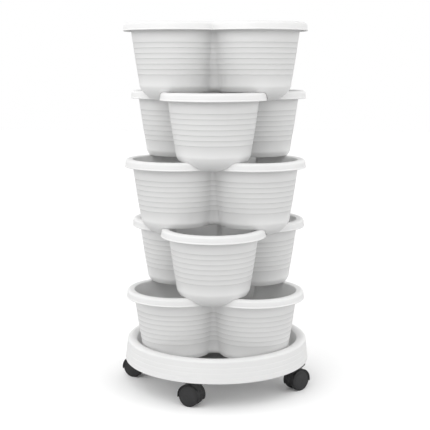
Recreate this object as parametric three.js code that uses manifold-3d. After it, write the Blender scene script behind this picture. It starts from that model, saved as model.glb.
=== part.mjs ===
// Vertical planter tower: five stacking trefoil pots in a round saucer on four twin-wheel casters.
// Millimetres, +Z up. The origin is on the tower's axis, at the floor.
import * as THREE from "three";
import { mergeVertices } from "three/addons/utils/BufferGeometryUtils.js";
import Module from "manifold-3d";

const wasm = await Module();
wasm.setup();

// Clearances shared by all pieces
const seatGap = 0.3; // where one piece rests on, or plugs into, another
const overrun = 2; // how far a cutter passes the face that it opens
const weld = 1e-4; // corners nearer than this are one

// Stack of pots
const tierCount = 5;
const tierHeight = 122.6; // floor underside to rim top
const lobeCount = 3;
const lobeOffset = 81.9; // tower axis to the centre of a lobe

// Pot wall
const wallTopRadius = 81.7; // lobe, just under the rim
const wallFootRadius = 65.6; // lobe, at the level of the floor's underside
const wallBulge = 1; // how far the wall swells out half-way up
const wallValleyRadius = 9.4; // hollow curve between two lobes, just under the rim
const wallThickness = 2.4;
const footFillet = 8;
const innerFillet = 12; // height of the slope inside, over the chins' roots

// Horizontal laps moulded round the wall
const lapCount = 7;
const lapPitch = 9.43;
const lapDrop = 22.8; // rim underside to the first lap
const lapStep = 0.9; // how far each lap overhangs the one below
const lapLedge = 0.5; // height of the step

// Rolled rim, hollow from below
const rimRadius = 96.6; // lobe, at the rim's outer edge
const rimValleyRadius = 1.5;
const rimHeight = 15;
const rimCrestInset = 7.8; // outer edge to the crest
const rimSkin = 2.2;
const rimLean = 1; // how far the outer face leans in towards its top
const rimEase = 4.4; // height of the rounding below the crest

// Interlocking chins, one under each lobe, between the two rims below
const chinDrop = 16.6;
const chinClearance = 1.2; // to the rims that it hangs between
const chinStart = 10; // height over the floor's underside where the front begins to curve in
const chinTipReach = 7.6; // how far the flat tip stands out past the point where the rims below meet
const chinInlay = 1.5; // how deep the front starts inside the wall
const chinRoundPower = 1.6; // 1 is a straight slope, 2 an ellipse
const chinLevelShares = [1, 0.86, 0.55, 0]; // of the curved height, from the tip up
const pocketLevelShares = [1, 0];

// Drain holes in the floor of a pot
const drainRadius = 4;
const drainCircleRadius = 38;

// Saucer: a well for the pot, a wide rounded rim, and an outer skirt that is hollow from below
const saucerHeight = 42.8;
const saucerPotGap = 2.4; // lobes of the lowest pot to the inside of the rim
const saucerFlare = 4.2; // how much narrower the skirt is under the rim
const saucerWall = 2.6;
const saucerFootEase = 0.8; // bevel round the skirt's foot
const saucerFloorRise = 1.4; // skirt's foot to the underside of the floor
const saucerRimWidth = 18.6;
const saucerRimCrown = 5.5; // height of the rim's rounding, outside
const saucerRimDip = 6; // height of the rim's rounding, inside
const saucerWellDraft = 3; // how much narrower the well is at its floor
const saucerWellRound = 3.2;
const saucerLapCount = 3;
const saucerLapPitch = 9;
const saucerLapStep = 0.5;
const saucerPadHeight = 12; // block over each caster's plate, filling the hollow out to the skirt
const saucerPadMargin = 1.5; // plate's edge to the pad's edge

// Casters
const wheelRadius = 20;
const wheelWidth = 8.5;
const wheelFaceStep = 1.2; // width of the bevel round the outer face
const wheelDome = 0.8;
const wheelSideGap = 0.4; // to the web of the hood
const wheelCapThickness = 2.6; // closed outer face over the axle's end
const axleRadius = 2;
const webWidth = 8;
const treadGap = 0.6; // tread to the inside of the hood
const hoodThickness = 1.5;
const hoodTrailAngle = -9; // degrees, end of the hood on the side of the wheels' trail
const hoodHeelAngle = 200; // degrees, end of the hood under the king pin
const trail = 8; // king pin to axle, seen from above
const plateSide = 36;
const plateThickness = 2.6;
const plateCornerRadius = 4;
const kingPinRadius = 2.4;
const kingPinHeadRadius = 5;
const kingPinDepth = 17; // how far the pin reaches below the plate
const turretRadius = 10.5; // flat-topped boss that turns under the plate
const turretRise = 4.9; // above the hood
const screwHoleRadius = 1.8;
const screwHoleInset = 6; // plate edge to the middle of a screw hole
// Where each caster sits: degrees round the tower, its king pin's distance from the saucer's edge,
// and the way its wheels trail, in degrees
const casters = {
  front: { placeAngle: -100.6, edgeInset: 24, headingAngle: 155 },
  right: { placeAngle: -18.5, edgeInset: 18.6, headingAngle: 43 },
  back: { placeAngle: 78, edgeInset: 19.5, headingAngle: 262 },
  left: { placeAngle: 176.2, edgeInset: 21.6, headingAngle: 162 },
};

// Facets
const lobeSteps = 8;
const valleySteps = 2;
const chinSideSteps = 2;
const chinFrontSteps = 4;
const drainSides = 6;
const saucerSides = 36;
const saucerRimSteps = 3;
const wheelSides = 16;
const pinSides = 8;
const turretSides = 12;
const hoodSteps = 6;
const wellSides = 16;
const cornerSteps = 1;

// Heights worked out from the sizes above
const axleHeight = wheelRadius * Math.cos(Math.PI / wheelSides);
const hoodInnerRadius = wheelRadius + treadGap;
const hoodRadius = hoodInnerRadius + hoodThickness;
const hoodHalfWidth = webWidth / 2 + wheelSideGap + wheelWidth + wheelDome;
const turretTop = axleHeight + hoodRadius + turretRise;
const plateBottom = turretTop + seatGap;
const plateTop = plateBottom + plateThickness;
const saucerBottom = plateTop + seatGap;
const lowestPot = saucerBottom + saucerFloorRise + saucerWall + seatGap + chinDrop;
const tierPitch = tierHeight + seatGap;

const degrees = Math.PI / 180;
const lobeAngle = (2 * Math.PI) / lobeCount;
const rimUnderside = tierHeight - rimHeight;

// The saucer is as wide as the lowest pot needs: where the pot comes out of it, the lobes clear the rim
const potFloorDepth = saucerHeight - saucerFloorRise - saucerWall - seatGap - chinDrop;
const saucerRimInner = lobeOffset + wallRadius(potFloorDepth) + saucerPotGap;
const saucerRadius = saucerRimInner + saucerRimWidth + saucerFlare; // skirt, at its foot

// Two rims of the pot below meet under each chin: their lobes' centres lie along and across from its line
const along = lobeOffset * Math.cos(lobeAngle / 2);
const across = lobeOffset * Math.sin(lobeAngle / 2);
const rimsMeet = along + Math.sqrt((rimRadius + chinClearance) ** 2 - across ** 2);
const chinTipRadius = rimsMeet + chinTipReach - lobeOffset; // lobe's centre to the front of the flat tip

const whitePlastic = { color: 0xe6e6e4, roughness: 0.46, metalness: 0 };
const blackNylon = { color: 0x1f1f20, roughness: 0.5, metalness: 0 };
const greyNylon = { color: 0x3b3b3c, roughness: 0.55, metalness: 0 };
const zincSteel = { color: 0xb4b6b8, roughness: 0.35, metalness: 1 };

// A closed three.js geometry as a solid that can be joined and cut
function solidOf(geometry) {
  const bare = geometry.clone();
  bare.deleteAttribute("normal");
  bare.deleteAttribute("uv");
  const merged = mergeVertices(bare, weld);
  const vertProperties = new Float32Array(merged.attributes.position.array);
  const triVerts = new Uint32Array(merged.index.array);
  return new wasm.Manifold(new wasm.Mesh({ numProp: 3, vertProperties, triVerts }));
}

function geometryOf(solid) {
  const mesh = solid.getMesh();
  const geometry = new THREE.BufferGeometry();
  geometry.setAttribute("position", new THREE.BufferAttribute(new Float32Array(mesh.vertProperties), 3));
  geometry.setIndex(new THREE.BufferAttribute(new Uint32Array(mesh.triVerts), 1));
  geometry.computeVertexNormals();
  return geometry;
}

function piece(name, geometry, look) {
  const mesh = new THREE.Mesh(geometry, new THREE.MeshStandardMaterial(look));
  mesh.name = name;
  return mesh;
}

// A closed skin over rings of [x, y] points, each ring at its own height; the two end rings are capped
function loft(rings) {
  const count = rings[0].points.length;
  const positions = [];
  const index = [];
  for (const ring of rings) {
    for (const [x, y] of ring.points) positions.push(x, y, ring.z);
  }
  for (let r = 0; r + 1 < rings.length; r++) {
    for (let i = 0; i < count; i++) {
      const a = r * count + i;
      const b = r * count + ((i + 1) % count);
      index.push(a, b, b + count, a, b + count, a + count);
    }
  }
  const top = (rings.length - 1) * count;
  for (const [a, b, c] of fill(rings[0].points)) index.push(a, c, b);
  for (const [a, b, c] of fill(rings[rings.length - 1].points)) index.push(top + a, top + b, top + c);
  const geometry = new THREE.BufferGeometry();
  geometry.setAttribute("position", new THREE.Float32BufferAttribute(positions, 3));
  geometry.setIndex(index);
  return geometry;
}

function fill(points) {
  return THREE.ShapeUtils.triangulateShape(
    points.map(([x, y]) => new THREE.Vector2(x, y)),
    [],
  );
}

// Round post from z = low to z = high
function post(radius, low, high, sides) {
  return new THREE.CylinderGeometry(radius, radius, high - low, sides)
    .rotateX(Math.PI / 2)
    .translate(0, 0, (high + low) / 2);
}

// Trefoil outline: lobe arcs of lobeRadius joined by hollow arcs, both tangent.
// reach is the sum of the two radii, so outlines of one reach lie parallel.
function trefoil(lobeRadius, reach) {
  const half = lobeAngle / 2;
  const valleyRadius = reach - lobeRadius;
  const valleyCentre = along + Math.sqrt(reach ** 2 - across ** 2);
  const valleyX = valleyCentre * Math.cos(half);
  const valleyY = valleyCentre * Math.sin(half);
  const tangent = Math.atan2(valleyY, valleyX - lobeOffset);
  const oneLobe = [];
  for (let i = 0; i < lobeSteps; i++) {
    const t = tangent * ((2 * i) / lobeSteps - 1);
    oneLobe.push([lobeOffset + lobeRadius * Math.cos(t), lobeRadius * Math.sin(t)]);
  }
  for (let i = 0; i < valleySteps; i++) {
    const t = tangent + Math.PI - (2 * (tangent - half) * i) / valleySteps;
    oneLobe.push([valleyX + valleyRadius * Math.cos(t), valleyY + valleyRadius * Math.sin(t)]);
  }
  const outline = [];
  for (let lobe = 0; lobe < lobeCount; lobe++) outline.push(...turned(oneLobe, lobe * lobeAngle));
  return outline;
}

function turned(points, angle) {
  const c = Math.cos(angle);
  const s = Math.sin(angle);
  return points.map(([x, y]) => [x * c - y * s, x * s + y * c]);
}

// The wall leans out from the foot to the rim and swells a little on the way
function wallRadius(z) {
  const rise = z / rimUnderside;
  return wallFootRadius + (wallTopRadius - wallFootRadius) * rise + 4 * wallBulge * rise * (1 - rise);
}

// Rings of the pot's skin: under the floor, up the lapped wall, over the rolled rim and down inside
function potRings() {
  const wallReach = wallTopRadius + wallValleyRadius;
  const rimReach = rimRadius + rimValleyRadius;
  const rings = [];
  const wall = (radius, z) => rings.push({ points: trefoil(radius, wallReach), z });
  const rim = (radius, z) => rings.push({ points: trefoil(radius, rimReach), z });

  const filletCentre = wallRadius(footFillet) - footFillet;
  const filletSteps = 2;
  for (let i = 0; i <= filletSteps; i++) {
    const t = (i / filletSteps) * (Math.PI / 2);
    wall(filletCentre + footFillet * Math.sin(t), footFillet * (1 - Math.cos(t)));
  }
  for (let i = lapCount - 1; i >= 0; i--) {
    const z = rimUnderside - lapDrop - i * lapPitch;
    wall(wallRadius(z) - lapStep, z);
    wall(wallRadius(z), z + lapLedge);
  }
  const rimCeiling = tierHeight - rimSkin;
  wall(wallRadius(rimCeiling), rimCeiling - rimSkin);
  rim(rimRadius - rimSkin - rimLean, rimCeiling - rimSkin);
  rim(rimRadius - rimSkin, rimUnderside);
  rim(rimRadius, rimUnderside);
  rim(rimRadius - rimLean, tierHeight - rimEase);
  rim(rimRadius - rimCrestInset, tierHeight);
  rim(rimRadius - 2 * rimCrestInset + rimLean, tierHeight - rimSkin);
  wall(wallRadius(rimUnderside) - wallThickness, rimUnderside);
  wall(wallRadius(innerFillet) - wallThickness, innerFillet);
  wall(filletCentre, wallThickness);
  return rings;
}

// Front of a chin at height z, measured from the lobe's centre: it leaves the wall and curves in
function chinFront(z) {
  const share = (chinStart - z) / (chinStart + chinDrop);
  const root = wallRadius(chinStart) - chinInlay;
  return chinTipRadius + (root - chinTipRadius) * (1 - share ** chinRoundPower) ** (1 / chinRoundPower);
}

// Outline of a chin seen from above, with its lobe on +X: two hollow sides that follow the rims
// below, and a round front between them
function chinOutline(frontRadius, inset) {
  const half = lobeAngle / 2;
  const sideRadius = rimRadius + chinClearance + inset;
  const apex = Math.asin(across / sideRadius);
  const overlap = (frontRadius ** 2 + lobeOffset ** 2 - sideRadius ** 2) / (2 * frontRadius * lobeOffset);
  const corner = Math.PI - half - Math.acos(overlap);
  const cornerX = lobeOffset + frontRadius * Math.cos(corner);
  const cornerY = frontRadius * Math.sin(corner);
  const meet = Math.atan2(across - cornerY, cornerX - along);
  const points = [];
  for (let i = 0; i < chinSideSteps; i++) {
    const t = apex + ((meet - apex) * i) / chinSideSteps;
    points.push([along + sideRadius * Math.cos(t), sideRadius * Math.sin(t) - across]);
  }
  for (let i = 0; i < chinFrontSteps; i++) {
    const t = corner * ((2 * i) / chinFrontSteps - 1);
    points.push([lobeOffset + frontRadius * Math.cos(t), frontRadius * Math.sin(t)]);
  }
  for (let i = 0; i < chinSideSteps; i++) {
    const t = meet + ((apex - meet) * i) / chinSideSteps;
    points.push([along + sideRadius * Math.cos(t), across - sideRadius * Math.sin(t)]);
  }
  return points;
}

// One chin, or with an inset the pocket inside it
function chin(inset, levelShares) {
  const rings = levelShares.map((share) => {
    const z = chinStart - share * (chinStart + chinDrop);
    return { points: chinOutline(chinFront(z) - inset, inset), z: z + inset * share };
  });
  return solidOf(loft(rings));
}

function makePot() {
  const outerChin = chin(0, chinLevelShares);
  const innerChin = chin(wallThickness, pocketLevelShares);
  const drain = solidOf(post(drainRadius, -overrun, wallThickness + overrun, drainSides));
  let pot = solidOf(loft(potRings()));
  for (let lobe = 0; lobe < lobeCount; lobe++) {
    const turn = [0, 0, (lobe * lobeAngle) / degrees];
    pot = pot.add(outerChin.rotate(turn));
  }
  for (let lobe = 0; lobe < lobeCount; lobe++) {
    const turn = [0, 0, (lobe * lobeAngle) / degrees];
    pot = pot.subtract(innerChin.rotate(turn));
    pot = pot.subtract(drain.translate([drainCircleRadius, 0, 0]).rotate(turn));
  }
  return geometryOf(pot);
}

// Turned profile about Z, from points given as [radius, z]
function turnedZ(profile, sides) {
  const points = profile.map(([radius, z]) => new THREE.Vector2(radius, z));
  return new THREE.LatheGeometry(points, sides).rotateX(Math.PI / 2);
}

// Skirt of the saucer at height z: it narrows evenly from its foot up to the rim
function skirtRadius(z) {
  return saucerRadius - (saucerFlare * z) / (saucerHeight - saucerRimCrown);
}

function makeSaucer() {
  const shoulder = saucerHeight - saucerRimCrown;
  const rimOuter = skirtRadius(shoulder);
  const rimInner = rimOuter - saucerRimWidth;
  const crest = rimInner + saucerRimWidth / 2;
  const floorTop = saucerFloorRise + saucerWall;
  const wellFoot = rimInner - saucerWellDraft;
  const profile = [
    [0, 0],
    [saucerRadius - saucerFootEase, 0],
    [saucerRadius, saucerFootEase],
  ];
  for (let i = saucerLapCount; i > 0; i--) {
    const z = shoulder - i * saucerLapPitch;
    profile.push([skirtRadius(z) - saucerLapStep, z], [skirtRadius(z), z + saucerLapStep]);
  }
  for (let i = 0; i <= 2 * saucerRimSteps; i++) {
    const t = (i / saucerRimSteps) * (Math.PI / 2);
    const drop = t > Math.PI / 2 ? saucerRimDip : saucerRimCrown;
    const radius = crest + (saucerRimWidth / 2) * Math.cos(t);
    profile.push([radius, saucerHeight - drop * (1 - Math.sin(t))]);
  }
  profile.push([wellFoot, floorTop + saucerWellRound], [wellFoot - saucerWellRound, floorTop], [0, floorTop]);

  const hollowProfile = [
    [0, -overrun],
    [saucerRadius - saucerWall, -overrun],
    [rimOuter - saucerWall, shoulder],
    [crest, saucerHeight - saucerWall],
    [rimInner + saucerWall, saucerHeight - saucerRimDip],
    [wellFoot + saucerWall, saucerFloorRise],
    [0, saucerFloorRise],
  ];
  let hollow = solidOf(turnedZ(hollowProfile, saucerSides));
  const padSide = plateSide + 2 * saucerPadMargin;
  const padRise = saucerPadHeight + 2 * overrun;
  for (const { placeAngle, edgeInset } of Object.values(casters)) {
    const length = padSide / 2 + edgeInset;
    const pad = solidOf(new THREE.BoxGeometry(length, padSide, padRise));
    const outward = pad.translate([saucerRadius - length / 2, 0, saucerPadHeight - padRise / 2]);
    hollow = hollow.subtract(outward.rotate([0, 0, placeAngle]));
  }
  return geometryOf(solidOf(turnedZ(profile, saucerSides)).subtract(hollow));
}

// Square mounting plate with round corners, a countersunk bore for the king pin and four screw holes
function makePlate() {
  const half = plateSide / 2;
  const inner = half - plateCornerRadius;
  const shape = new THREE.Shape();
  const corners = [
    [inner, -inner],
    [inner, inner],
    [-inner, inner],
    [-inner, -inner],
  ];
  corners.forEach(([x, y], i) => {
    const start = (i - 1) * (Math.PI / 2);
    shape.absarc(x, y, plateCornerRadius, start, start + Math.PI / 2, false);
  });
  const options = { depth: plateThickness, bevelEnabled: false, curveSegments: cornerSteps };
  let plate = solidOf(new THREE.ExtrudeGeometry(shape, options));
  const pinBore = solidOf(turnedZ(kingPinProfile(seatGap), pinSides));
  plate = plate.subtract(pinBore.translate([0, 0, -plateBottom]));
  const hole = solidOf(post(screwHoleRadius, -overrun, plateThickness + overrun, drainSides));
  for (const [sx, sy] of [[1, 1], [-1, 1], [-1, -1], [1, -1]]) {
    const reach = half - screwHoleInset;
    plate = plate.subtract(hole.translate([sx * reach, sy * reach, 0]));
  }
  return geometryOf(plate).translate(0, 0, plateBottom);
}

// King pin riveted into the plate: a straight shank under a cone head. clearance widens it for a cutter.
function kingPinProfile(clearance) {
  const rise = clearance > 0 ? overrun : 0;
  const low = plateBottom - kingPinDepth - clearance;
  const slope = (kingPinHeadRadius - kingPinRadius) / plateThickness;
  return [
    [0, low],
    [kingPinRadius + clearance, low],
    [kingPinRadius + clearance, plateBottom],
    [kingPinHeadRadius + clearance + slope * rise, plateTop + rise],
    [0, plateTop + rise],
  ];
}

// Hood over both wheels, with a web between them, in a frame with the axle on Y and the king pin at x = 0
function makeHood() {
  const shape = new THREE.Shape();
  shape.absarc(0, 0, hoodRadius, hoodTrailAngle * degrees, hoodHeelAngle * degrees, false);
  const width = 2 * hoodHalfWidth;
  const options = { depth: width, bevelEnabled: false, curveSegments: hoodSteps };
  const shell = new THREE.ExtrudeGeometry(shape, options).rotateX(Math.PI / 2);
  let hood = solidOf(shell.translate(trail, hoodHalfWidth, axleHeight));
  const turret = solidOf(post(turretRadius, axleHeight + hoodInnerRadius / 2, turretTop, turretSides));
  hood = hood.add(turret);
  const wellLength = hoodHalfWidth + overrun - webWidth / 2;
  for (const side of [1, -1]) {
    const well = new THREE.CylinderGeometry(hoodInnerRadius, hoodInnerRadius, wellLength, wellSides);
    const y = side * (webWidth / 2 + wellLength / 2);
    hood = hood.subtract(solidOf(well.translate(trail, y, axleHeight)));
  }
  const bore = new THREE.CylinderGeometry(axleRadius + seatGap, axleRadius + seatGap, width, pinSides);
  hood = hood.subtract(solidOf(bore.translate(trail, 0, axleHeight)));
  hood = hood.subtract(solidOf(turnedZ(kingPinProfile(seatGap), pinSides)));
  return geometryOf(hood);
}

function makeAxle() {
  const halfLength = webWidth / 2 + wheelSideGap + wheelWidth - wheelCapThickness - seatGap;
  return new THREE.CylinderGeometry(axleRadius, axleRadius, 2 * halfLength, pinSides);
}

// Wheel about Y, its inner side at y = 0 and its closed domed face outwards; a flat of the tread is down
function makeWheel() {
  const bore = axleRadius + seatGap;
  const profile = [
    [0, wheelWidth - wheelCapThickness],
    [bore, wheelWidth - wheelCapThickness],
    [bore, 0],
    [wheelRadius, 0],
    [wheelRadius, wheelWidth - wheelFaceStep],
    [wheelRadius - wheelFaceStep, wheelWidth],
    [0, wheelWidth + wheelDome],
  ];
  const points = profile.map(([radius, y]) => new THREE.Vector2(radius, y));
  return new THREE.LatheGeometry(points, wheelSides, Math.PI / wheelSides);
}

// Assembly
const tower = new THREE.Group();

for (let tier = 1; tier <= tierCount; tier++) {
  const fromBottom = tierCount - tier;
  const pot = piece("planter_tier_" + tier, makePot(), whitePlastic);
  pot.position.z = lowestPot + fromBottom * tierPitch;
  pot.rotation.z = Math.PI / 2 + (fromBottom % 2) * (lobeAngle / 2);
  tower.add(pot);
}

const saucer = piece("saucer", makeSaucer(), whitePlastic);
saucer.position.z = saucerBottom;
tower.add(saucer);

for (const [name, { placeAngle, edgeInset, headingAngle }] of Object.entries(casters)) {
  const angle = placeAngle * degrees;
  const reach = saucerRadius - edgeInset;
  const mount = new THREE.Group();
  mount.position.set(reach * Math.cos(angle), reach * Math.sin(angle), 0);
  tower.add(mount);

  const fixed = new THREE.Group();
  fixed.rotation.z = angle;
  mount.add(fixed);
  fixed.add(piece("caster_plate_" + name, makePlate(), blackNylon));
  fixed.add(piece("king_pin_" + name, turnedZ(kingPinProfile(0), pinSides), zincSteel));

  const swivel = new THREE.Group();
  swivel.rotation.z = headingAngle * degrees;
  mount.add(swivel);
  swivel.add(piece("caster_hood_" + name, makeHood(), blackNylon));

  const wheelset = new THREE.Group();
  wheelset.position.set(trail, 0, axleHeight);
  swivel.add(wheelset);
  wheelset.add(piece("axle_" + name, makeAxle(), zincSteel));
  for (const [letter, turn] of [["a", 0], ["b", Math.PI]]) {
    const wheel = piece("wheel_" + name + "_" + letter, makeWheel(), greyNylon);
    wheel.rotation.z = turn;
    wheel.position.y = (webWidth / 2 + wheelSideGap) * (turn ? -1 : 1);
    wheelset.add(wheel);
  }
}

export default tower;
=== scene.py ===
import math

import bmesh
import bpy
from mathutils import Euler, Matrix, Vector


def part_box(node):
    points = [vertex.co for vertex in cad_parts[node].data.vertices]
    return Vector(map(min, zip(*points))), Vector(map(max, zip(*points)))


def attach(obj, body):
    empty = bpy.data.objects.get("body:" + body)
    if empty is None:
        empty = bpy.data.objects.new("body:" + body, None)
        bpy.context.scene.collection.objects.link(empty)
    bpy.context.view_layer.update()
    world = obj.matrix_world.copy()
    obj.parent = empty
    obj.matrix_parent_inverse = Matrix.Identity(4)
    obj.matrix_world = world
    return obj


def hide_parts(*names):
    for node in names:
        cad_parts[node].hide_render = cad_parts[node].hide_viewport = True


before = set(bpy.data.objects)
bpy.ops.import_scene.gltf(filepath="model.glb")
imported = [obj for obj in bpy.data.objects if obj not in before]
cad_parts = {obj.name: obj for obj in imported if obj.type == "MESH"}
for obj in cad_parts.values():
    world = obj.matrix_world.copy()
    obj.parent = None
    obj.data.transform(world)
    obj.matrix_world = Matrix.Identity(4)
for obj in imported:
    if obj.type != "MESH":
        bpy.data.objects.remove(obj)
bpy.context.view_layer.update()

mm = 0.001

# Camera, floor and light

view = {
    "place": (0.1296, -1.795, 0.6106),  # where the camera stands
    "pitch": -8.976,       # degrees below the horizon
    "heading": 4.235,      # degrees round to the left
    "lens": 79.85,
    "sensor": 36,
}
studio = {
    "floorSize": 14.0,
    "floorSeen": 1.0,      # tone of the floor in the picture
    "floorGlow": 0.01,     # lifts the floor to white where no shadow falls
    "floorBounce": 0.6,    # tone of the floor as the object sees it
    "floorRoughness": 0.9,
    "skyTop": 0.75,        # light of the white room from overhead
    "skySide": 1.6,        # and from the sides
    "skyFront": 0.8,       # shares of that light from the front or back, and from the left or right
    "skyFlank": 1.9,
    "skyLow": 0.3,         # share right at the horizon
    "skyLowTo": 0.13,      # height on a sphere of 1 where it reaches its full strength
    "softboxPower": 4.2,
    "softboxSize": 0.9,
    "softboxPlace": (-0.2, -0.95, 1.2),
    "softboxAim": (0, 0, 0.3),
}


def setCamera():
    data = bpy.data.cameras.new("camera")
    data.lens = view["lens"]
    data.sensor_width = view["sensor"]
    camera = bpy.data.objects.new("camera", data)
    bpy.context.scene.collection.objects.link(camera)
    camera.location = view["place"]
    camera.rotation_euler = (math.radians(90 + view["pitch"]), 0, math.radians(view["heading"]))
    bpy.context.scene.camera = camera


def wire(tree, pairs):  # (from socket, to socket) pairs
    for start, end in pairs:
        tree.links.new(start, end)


def setRoom():  # plain white in the picture; as light, weakest at the floor and from the front and back
    world = bpy.data.worlds.new("white room")
    world.use_nodes = True
    tree = world.node_tree
    seen = tree.nodes["Background"]
    seen.inputs["Color"].default_value = (1, 1, 1, 1)
    lit = tree.nodes.new("ShaderNodeBackground")
    path = tree.nodes.new("ShaderNodeLightPath")
    choice = tree.nodes.new("ShaderNodeMixShader")
    direction = tree.nodes.new("ShaderNodeTexCoord")
    parts = tree.nodes.new("ShaderNodeSeparateXYZ")
    height = tree.nodes.new("ShaderNodeMapRange")
    height.inputs["To Min"].default_value = studio["skySide"]
    height.inputs["To Max"].default_value = studio["skyTop"]
    low = tree.nodes.new("ShaderNodeMapRange")
    low.inputs["From Max"].default_value = studio["skyLowTo"]
    low.inputs["To Min"].default_value = studio["skyLow"]
    dimmed = tree.nodes.new("ShaderNodeMath")
    dimmed.operation = "MULTIPLY"
    aside = tree.nodes.new("ShaderNodeMath")
    aside.operation = "ABSOLUTE"
    flank = tree.nodes.new("ShaderNodeMapRange")
    flank.inputs["To Min"].default_value = studio["skyFront"]
    flank.inputs["To Max"].default_value = studio["skyFlank"]
    shared = tree.nodes.new("ShaderNodeMath")
    shared.operation = "MULTIPLY"
    wire(tree, [
        (direction.outputs["Generated"], parts.inputs["Vector"]),
        (parts.outputs["Z"], height.inputs["Value"]),
        (parts.outputs["Z"], low.inputs["Value"]),
        (height.outputs["Result"], dimmed.inputs[0]),
        (low.outputs["Result"], dimmed.inputs[1]),
        (parts.outputs["X"], aside.inputs[0]),
        (aside.outputs["Value"], flank.inputs["Value"]),
        (dimmed.outputs["Value"], shared.inputs[0]),
        (flank.outputs["Result"], shared.inputs[1]),
        (shared.outputs["Value"], lit.inputs["Strength"]),
        (path.outputs["Is Camera Ray"], choice.inputs["Fac"]),
        (lit.outputs["Background"], choice.inputs[1]),
        (seen.outputs["Background"], choice.inputs[2]),
        (choice.outputs["Shader"], tree.nodes["World Output"].inputs["Surface"]),
    ])
    bpy.context.scene.world = world
    bpy.context.scene.view_settings.view_transform = "Standard"


def setFloor():
    bpy.ops.mesh.primitive_plane_add(size=studio["floorSize"])
    floor = bpy.context.object
    floor.name = "studio_floor"
    paint = bpy.data.materials.new("studio floor")
    paint.use_nodes = True
    tree = paint.node_tree
    shader = tree.nodes["Principled BSDF"]
    path = tree.nodes.new("ShaderNodeLightPath")
    tone = tree.nodes.new("ShaderNodeMapRange")
    tone.inputs["To Min"].default_value = studio["floorBounce"]
    tone.inputs["To Max"].default_value = studio["floorSeen"]
    glow = tree.nodes.new("ShaderNodeMapRange")
    glow.inputs["To Min"].default_value = 0
    glow.inputs["To Max"].default_value = studio["floorGlow"]
    shader.inputs["Roughness"].default_value = studio["floorRoughness"]
    shader.inputs["Specular IOR Level"].default_value = 0
    shader.inputs["Emission Color"].default_value = (1, 1, 1, 1)
    wire(tree, [
        (path.outputs["Is Camera Ray"], tone.inputs["Value"]),
        (path.outputs["Is Camera Ray"], glow.inputs["Value"]),
        (tone.outputs["Result"], shader.inputs["Base Color"]),
        (glow.outputs["Result"], shader.inputs["Emission Strength"]),
    ])
    floor.data.materials.append(paint)


def setSoftbox():
    light = bpy.data.lights.new("softbox", "AREA")
    light.shape = "DISK"
    light.size = studio["softboxSize"]
    light.energy = studio["softboxPower"]
    lamp = bpy.data.objects.new("softbox", light)
    lamp.location = studio["softboxPlace"]
    aim = Vector(studio["softboxAim"]) - lamp.location
    lamp.rotation_euler = aim.to_track_quat("-Z", "Y").to_euler()
    bpy.context.scene.collection.objects.link(lamp)


# Modelling helpers

weldGap = 0.001 * mm


def fresh():
    if bpy.context.mode != "OBJECT":
        bpy.ops.object.mode_set(mode="OBJECT")
    bpy.ops.object.select_all(action="DESELECT")


def choose(piece):
    fresh()
    piece.select_set(True)
    bpy.context.view_layer.objects.active = piece


def singlePoint(name, place):  # a mesh of one corner, in edit mode, to be drawn out
    fresh()
    bpy.ops.mesh.primitive_plane_add(size=mm)
    piece = bpy.context.object
    piece.name = name
    piece.data.name = name
    bpy.ops.object.mode_set(mode="EDIT")
    bpy.ops.mesh.select_mode(type="VERT")
    bpy.ops.mesh.select_all(action="SELECT")
    bpy.ops.mesh.merge(type="CENTER")
    bpy.ops.transform.translate(value=place)
    return piece


def weldAll():
    bpy.ops.mesh.select_all(action="SELECT")
    bpy.ops.mesh.remove_doubles(threshold=weldGap)
    bpy.ops.mesh.normals_make_consistent(inside=False)


def turnProfile(name, points, centre=(0, 0), steps=96):  # (radius, height) points, spun round a vertical axis
    piece = singlePoint(name, (centre[0] + points[0][0], centre[1], points[0][1]))
    for (r0, z0), (r1, z1) in zip(points, points[1:]):
        bpy.ops.mesh.extrude_vertices_move(TRANSFORM_OT_translate={"value": (r1 - r0, 0, z1 - z0)})
    bpy.ops.mesh.select_all(action="SELECT")
    bpy.ops.mesh.spin(steps=steps, angle=2 * math.pi, center=(centre[0], centre[1], 0), axis=(0, 0, 1))
    weldAll()
    bpy.ops.object.mode_set(mode="OBJECT")
    return piece


def bend(centreR, centreZ, radiusR, radiusZ, start, end, steps):  # points on a rounding, angles in degrees
    points = []
    for i in range(steps + 1):
        t = math.radians(start + (end - start) * i / steps)
        points.append((centreR + radiusR * math.cos(t), centreZ + radiusZ * math.sin(t)))
    return points


def pickFace(test):
    bpy.ops.mesh.select_mode(type="FACE")
    bpy.ops.mesh.select_all(action="DESELECT")
    mesh = bmesh.from_edit_mesh(bpy.context.edit_object.data)
    mesh.faces.ensure_lookup_table()
    for face in mesh.faces:
        if test(face):
            face.select_set(True)
    bmesh.update_edit_mesh(bpy.context.edit_object.data)


def boolean(piece, cutter, operation):
    choose(piece)
    modifier = piece.modifiers.new("cut", "BOOLEAN")
    modifier.operation = operation
    modifier.object = cutter
    modifier.solver = "EXACT"
    bpy.ops.object.modifier_apply(modifier=modifier.name)
    bpy.data.objects.remove(cutter)


def copyOf(piece, name):
    twin = piece.copy()
    twin.data = piece.data.copy()
    twin.name = name
    twin.data.name = name
    bpy.context.scene.collection.objects.link(twin)
    return twin


def place(piece, turn=0.0, shift=(0, 0, 0)):  # turns the mesh about Z, then moves it
    choose(piece)
    piece.rotation_euler = (0, 0, turn)
    piece.location = shift
    bpy.ops.object.transform_apply(location=True, rotation=True, scale=True)


def layDown(piece):  # a piece turned about Z gets its axis along Y
    choose(piece)
    piece.rotation_euler = (math.pi / 2, 0, 0)
    bpy.ops.object.transform_apply(location=False, rotation=True, scale=False)


def middleOf(node):
    low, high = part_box(node)
    return (Vector(low) + Vector(high)) / 2


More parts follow.
